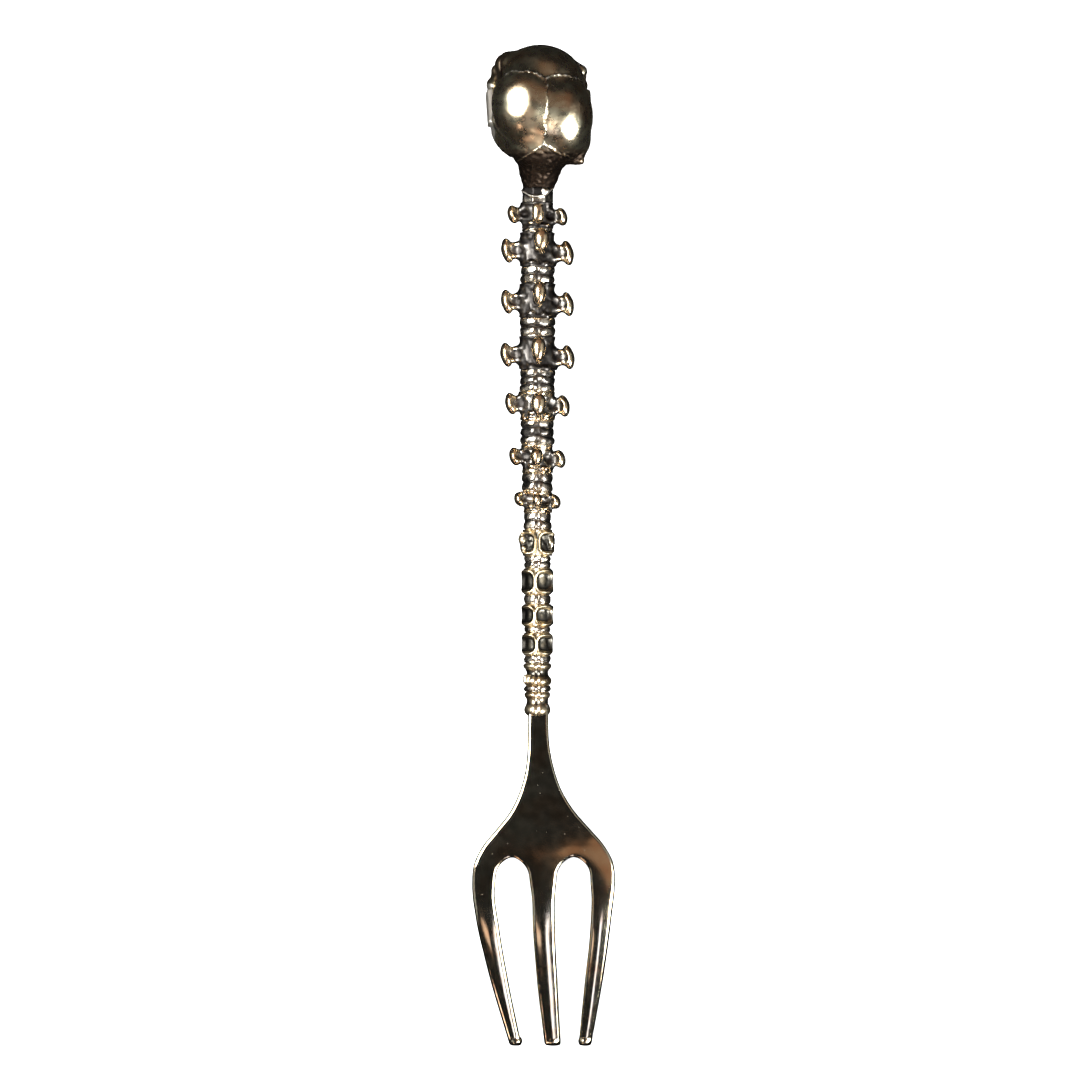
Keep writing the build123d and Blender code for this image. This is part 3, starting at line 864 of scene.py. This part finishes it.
def attribute(tree, title):
    """A number kept with each point of the mesh."""
    made = tree.nodes.new("ShaderNodeAttribute")
    made.attribute_name = title
    return made.outputs["Fac"]


def blended(tree, factor, a, b):
    """Colour a where the factor is 0, and b where it is 1."""
    made = tree.nodes.new("ShaderNodeMix")
    made.data_type = "RGBA"
    for socket, value in ((0, factor), (6, a), (7, b)):
        if isinstance(value, bpy.types.NodeSocket):
            tree.links.new(value, made.inputs[socket])
        else:
            made.inputs[socket].default_value = value
    return made.outputs[2]


def noise(tree, size, stretch=(1, 1, 1), turn=0.0, detail=3.0, seed=0.0):
    """Noise with features of this size in millimetres, stretched along turned axes."""
    place = tree.nodes.new("ShaderNodeTexCoord").outputs["Object"]
    scale = 1 / (size * MM)
    turned = node(tree, "ShaderNodeMapping", Vector=place, Rotation=(0, 0, turn))
    sized = node(tree, "ShaderNodeMapping", Vector=turned.outputs[0], Location=(seed, seed, seed),
                 Scale=[scale / part for part in stretch])
    made = node(tree, "ShaderNodeTexNoise", Vector=sized.outputs[0], Scale=1.0, Detail=detail)
    return made.outputs["Fac"]


WEAR_AND_HIGHLIGHT = (0.95, 0.90, 0.80, 1)              # pale bare metal: worn on sutures and edges, and painted highlights
MATTE = 0.42                                # roughness of the darkest and the palest metal, painted shade and highlight too


def metal(name, bright, warm, film, grime_and_shade, polish, dull, levels, pits=0.0, relief=0.5, streaks=False):
    """Cast metal: polished where it stands proud, filmed over on the flat, dark where it lies sunken.

    polish and dull are the roughness of bare and of filmed metal. levels are the depths where film
    begins, where it is whole and the darkest colour begins, and where that is whole. The tone adds
    to the depth: where it is raised, the film and darkest colour stand for painted shade, and where
    it runs low, the metal turns pale for wear and for painted highlights.
    """
    material = bpy.data.materials.new(name)
    material.use_nodes = True
    tree = material.node_tree
    shader = tree.nodes["Principled BSDF"]
    shader.inputs["Metallic"].default_value = 1.0
    tone = attribute(tree, "tone")
    patchy = noise(tree, 1.4, seed=3.0)
    depth = combine(tree, "ADD", attribute(tree, "sunken"),
                    combine(tree, "MULTIPLY_ADD", patchy, 0.12, -0.06))
    # the tone raises the depth for painted shade in places, and lowers it for wear and painted highlights
    depth = combine(tree, "ADD", depth, tone)
    filmed = ramp(tree, depth, levels[0], levels[1])
    grime_and_shade_share = ramp(tree, depth, levels[1], levels[2])
    # pale where the tone runs low: wear along sutures and edges, and painted highlights
    wear_and_highlight = ramp(tree, tone, -0.12, -0.26)
    toned = blended(tree, ramp(tree, noise(tree, 4.0, seed=1.0), 0.35, 0.7), bright, warm)
    colour = blended(tree, grime_and_shade_share, blended(tree, filmed, toned, film), grime_and_shade)
    tree.links.new(blended(tree, wear_and_highlight, colour, WEAR_AND_HIGHLIGHT), shader.inputs["Base Color"])
    rough = between(tree, filmed, ramp(tree, patchy, 0.3, 0.7, polish, polish * 1.3), dull)
    rough = between(tree, wear_and_highlight, between(tree, grime_and_shade_share, rough, MATTE), MATTE)
    if streaks:
        specks = ramp(tree, noise(tree, 0.4, seed=9.0, detail=1.0), 0.79, 0.82)
        rough = between(tree, specks, rough, 0.5)
        brushed = noise(tree, 0.12, stretch=(1, 60, 1), turn=radians(-35), detail=2.0)
        height = combine(tree, "MULTIPLY", brushed, 0.5)
    else:
        pitted = combine(tree, "MULTIPLY", noise(tree, 0.7, seed=5.0), pits)
        height = combine(tree, "ADD", noise(tree, 0.45, seed=7.0, detail=1.5), pitted)
    tree.links.new(rough, shader.inputs["Roughness"])
    bump = node(tree, "ShaderNodeBump", Height=height, Distance=0.03 * MM, Strength=relief)
    tree.links.new(bump.outputs["Normal"], shader.inputs["Normal"])
    return material


POLISHED = metal("polished_bronze", (0.60, 0.56, 0.43, 1), (0.56, 0.43, 0.29, 1), (0.50, 0.38, 0.24, 1),
                 (0.07, 0.05, 0.035, 1), 0.1, 0.18, (0.56, 0.66, 0.8), relief=0.14, streaks=True)
BONE = metal("bone_bronze", (0.80, 0.66, 0.45, 1), (0.72, 0.54, 0.33, 1), (0.21, 0.197, 0.178, 1),
             (0.03, 0.027, 0.025, 1), 0.2, 0.25, (0.41, 0.49, 0.70), pits=0.5, relief=0.09)
PATINA = metal("patina_bronze", (0.62, 0.56, 0.46, 1), (0.52, 0.45, 0.35, 1), (0.18, 0.168, 0.15, 1),
               (0.03, 0.027, 0.025, 1), 0.22, 0.26, (0.38, 0.47, 0.62), pits=0.5, relief=0.11)
SKULL = metal("skull_bronze", (0.55, 0.51, 0.36, 1), (0.48, 0.35, 0.22, 1), (0.35, 0.27, 0.18, 1),
              (0.045, 0.032, 0.023, 1), 0.25, 0.3, (0.50, 0.64, 0.84), pits=0.2, relief=0.1)
OLIVE = metal("olive_bronze", (0.66, 0.56, 0.38, 1), (0.58, 0.45, 0.27, 1), (0.13, 0.122, 0.1, 1),
              (0.03, 0.028, 0.024, 1), 0.27, 0.29, (0.42, 0.52, 0.68), pits=0.2, relief=0.05)
BRASS = metal("pin_brass", (0.75, 0.58, 0.30, 1), (0.66, 0.48, 0.24, 1), (0.3, 0.24, 0.15, 1),
              (0.10, 0.08, 0.05, 1), 0.2, 0.4, (0.5, 0.6, 0.7))

# ---------------- the pieces

VERTEBRAE = 13
BORE = 1.15                                 # radius of the hole through the spine for the tang
SPARE = 0.3                                 # room round a CAD box for what the surface adds
# Grid steps, as fine as each piece's detail needs. The cranium's keeps it under 200,000 triangles.
CRANIUM_STEP, JAW_STEP, PIN_STEP, SPINE_STEP, HEAD_STEP = 0.147, 0.14, 0.08, 0.12, 0.25
# Boxes that hold the skull's pieces, in skull coordinates.
CRANIUM_BOX = (-9.6, -13.2, -12.8), (9.6, 11.6, 8.2)
JAW_BOX = (-8, -1.8, -13.2), (8, 10, -4)
PINS_BOX = (-7.6, PIN_F - 0.6, PIN_U - 0.6), (7.6, PIN_F + 0.6, PIN_U + 0.6)


def bored(shape):
    """A spine piece's field with the hole for the tang through it."""
    return lambda p: np.maximum(shape(p), BORE - np.sqrt(p[0] ** 2 + p[2] ** 2))


def body_ends(number):
    """Where a vertebra's body begins and ends along the handle: between the pieces next to it."""
    own = node_mm(f"vertebra_{number:02d}")
    above = "atlas_collar" if number == 1 else f"disc_{number - 1:02d}"
    start = own[0][1] if number == VERTEBRAE else node_mm(f"disc_{number:02d}")[1][1]
    return start, node_mm(above)[0][1]


def cast_on_spine(name, make_field, make_tone, number, slot, material):
    """One piece of the spine, modelled about the middle of its length on the handle's line."""
    box_low, box_high = node_mm(name)
    low, high = box_low.copy(), box_high.copy()
    if name.startswith("vertebra"):
        low[1], high[1] = body_ends(number)
    middle = np.array([handle_x, (low[1] + high[1]) / 2, handle_z])
    cast(name, bored(make_field(low, high, number)), box_low - middle - SPARE, box_high - middle + SPARE,
         SPINE_STEP, slot, material, lambda verts: verts + middle, make_tone(low, high, number))


cast("cranium", cranium_field, *CRANIUM_BOX, CRANIUM_STEP, "skull_bronze", SKULL, skull_to_world,
     cranium_tone, hollow=0.6)
cast("mandible", mandible_field, *JAW_BOX, JAW_STEP, "skull_bronze", SKULL, skull_to_world)
cast("jaw_pins", pins_field, *PINS_BOX, PIN_STEP, "pin_brass", BRASS, skull_to_world)

for number in range(1, VERTEBRAE + 1):
    if number in ARMED:
        makers = vertebra_field, vertebra_tone
    elif number in LOW_TURNS:
        makers = low_vertebra_field, low_vertebra_tone
    else:
        makers = end_vertebra_field, end_vertebra_tone
    cast_on_spine(f"vertebra_{number:02d}", *makers, number, "bone_bronze",
                  BONE if number in ARMED else OLIVE)
for number in range(1, VERTEBRAE):
    cast_on_spine(f"disc_{number:02d}", disc_field, disc_tone, number, "patina_bronze", PATINA)
cast_on_spine("atlas_collar", collar_field, collar_tone, VERTEBRAE + 1, "patina_bronze", PATINA)

head_low, head_high = node_mm("fork_head")
head_length = head_high[1] - head_low[1]                # with the tang
head_place = np.array([(head_low[0] + head_high[0]) / 2, head_low[1], 0])
cast("fork_head", fork_field(handle_x - head_place[0], handle_z, head_length),
     (-12.4, -0.5, -0.6), (12.4, head_length + 0.5, 14), HEAD_STEP, "polished_bronze", POLISHED,
     lambda verts: verts + head_place, hollow=1.2)

# ---------------- floor, lights and camera

FLOOR_HALF = 4                              # lengths from here on are in metres
WALL_SIDES, WALL_RADIUS, WALL_HEIGHT = 96, 2.0, 4


def surroundings(name, verts, faces, colour):
    """Something plain round the fork that its metal doesn't reflect, and its shader."""
    mesh = bpy.data.meshes.new(name)
    mesh.from_pydata(verts, [], faces)
    material = bpy.data.materials.new(f"pale_{name}")
    material.use_nodes = True
    mesh.materials.append(material)
    shader = material.node_tree.nodes["Principled BSDF"]
    shader.inputs["Base Color"].default_value = colour
    shader.inputs["Specular IOR Level"].default_value = 0.0
    thing = placed(name, mesh)
    thing.visible_glossy = False
    return thing, shader


corners = [(x * FLOOR_HALF, y * FLOOR_HALF, 0) for x, y in ((-1, -1), (1, -1), (1, 1), (-1, 1))]
floor, floor_shader = surroundings("floor", corners, [(0, 1, 2, 3)], (0.86, 0.86, 0.86, 1))
floor_shader.inputs["Roughness"].default_value = 0.9

turns = [2 * pi * i / WALL_SIDES for i in range(WALL_SIDES)]
rings = [(WALL_RADIUS * cos(a), WALL_RADIUS * sin(a), z) for z in (0, WALL_HEIGHT) for a in turns]
panels = [(i, (i + 1) % WALL_SIDES, WALL_SIDES + (i + 1) % WALL_SIDES, WALL_SIDES + i)
          for i in range(WALL_SIDES)]
wall, wall_shader = surroundings("backdrop", rings, panels, (0, 0, 0, 1))
wall_shader.inputs["Emission Color"].default_value = (1, 1, 1, 1)
wall_shader.inputs["Emission Strength"].default_value = 1.0
wall.visible_diffuse = False
wall.visible_shadow = False

world = bpy.data.worlds.new("studio")
world.use_nodes = True
world.node_tree.nodes["Background"].inputs["Color"].default_value = (0.014, 0.014, 0.014, 1)
bpy.context.scene.world = world


def softbox(name, toward, distance, size, power, tint=(1, 1, 1)):
    """A rectangular light that faces the fork from a compass bearing and a height, in degrees."""
    bearing, height = (radians(a) for a in toward)
    away = np.array([cos(height) * sin(bearing), cos(height) * cos(bearing), sin(height)])
    lamp = bpy.data.lights.new(name, "AREA")
    lamp.shape = "RECTANGLE"
    lamp.size, lamp.size_y = size
    lamp.energy = power
    lamp.color = tint
    light = placed(name, lamp)
    light.location = away * distance
    light.rotation_mode = "QUATERNION"
    light.rotation_quaternion = light.location.to_track_quat("Z", "Y")
    light.visible_camera = False
    return light


AMBER, DEEP_AMBER, PINK, LILAC = (1, 0.56, 0.36), (1, 0.56, 0.34), (1, 0.74, 0.62), (0.86, 0.84, 1)
softbox("left_key", (-80, 55), 0.9, (0.62, 0.48), 17)
softbox("left_strip", (-92, 10), 0.9, (0.9, 0.08), 0.2)
softbox("right_key", (131, 41), 0.9, (0.42, 0.42), 12)
softbox("right_strip", (84, 12), 0.9, (0.8, 0.1), 0.15)
softbox("left_wide", (-100, 42), 1.3, (1.5, 0.8), 1.7)
softbox("right_wide", (95, 42), 1.3, (1.5, 0.8), 1.8)
softbox("crown_wide", (0, 50), 1.3, (1.8, 1.2), 1.4, AMBER)
softbox("palm_glow", (138, 69), 1.1, (0.42, 0.32), 0.16, DEEP_AMBER)
softbox("low_card", (196, 46), 1.0, (0.12, 0.1), 0.06, PINK)
softbox("nape_card", (206, 22), 1.0, (0.2, 0.12), 0.5, PINK)
softbox("lilac_card", (170, 41), 1.0, (0.08, 0.4), 0.36, LILAC)
fill = softbox("floor_fill", (0, 90), 2.2, (3.0, 3.0), 110)
fill.visible_glossy = False

CAMERA_HEIGHT = 1.2
FORK_HEIGHT = 0.011                         # of the fork's middle
FRAME_HEIGHT = 0.1773                       # of the picture, at the height of the fork's middle
FRAME_MIDDLE = (-0.00057, 0.0012)           # the point of the table below the picture's middle
SENSOR = 36                                 # millimetres
camera_data = bpy.data.cameras.new("camera")
camera_data.sensor_width = SENSOR
camera_data.lens = SENSOR * (CAMERA_HEIGHT - FORK_HEIGHT) / FRAME_HEIGHT
camera_data.clip_start = 0.05
camera_data.clip_end = 50
camera = placed("camera", camera_data)
camera.location = (*FRAME_MIDDLE, CAMERA_HEIGHT)
bpy.context.scene.camera = camera
bpy.context.scene.view_settings.view_transform = "Standard"
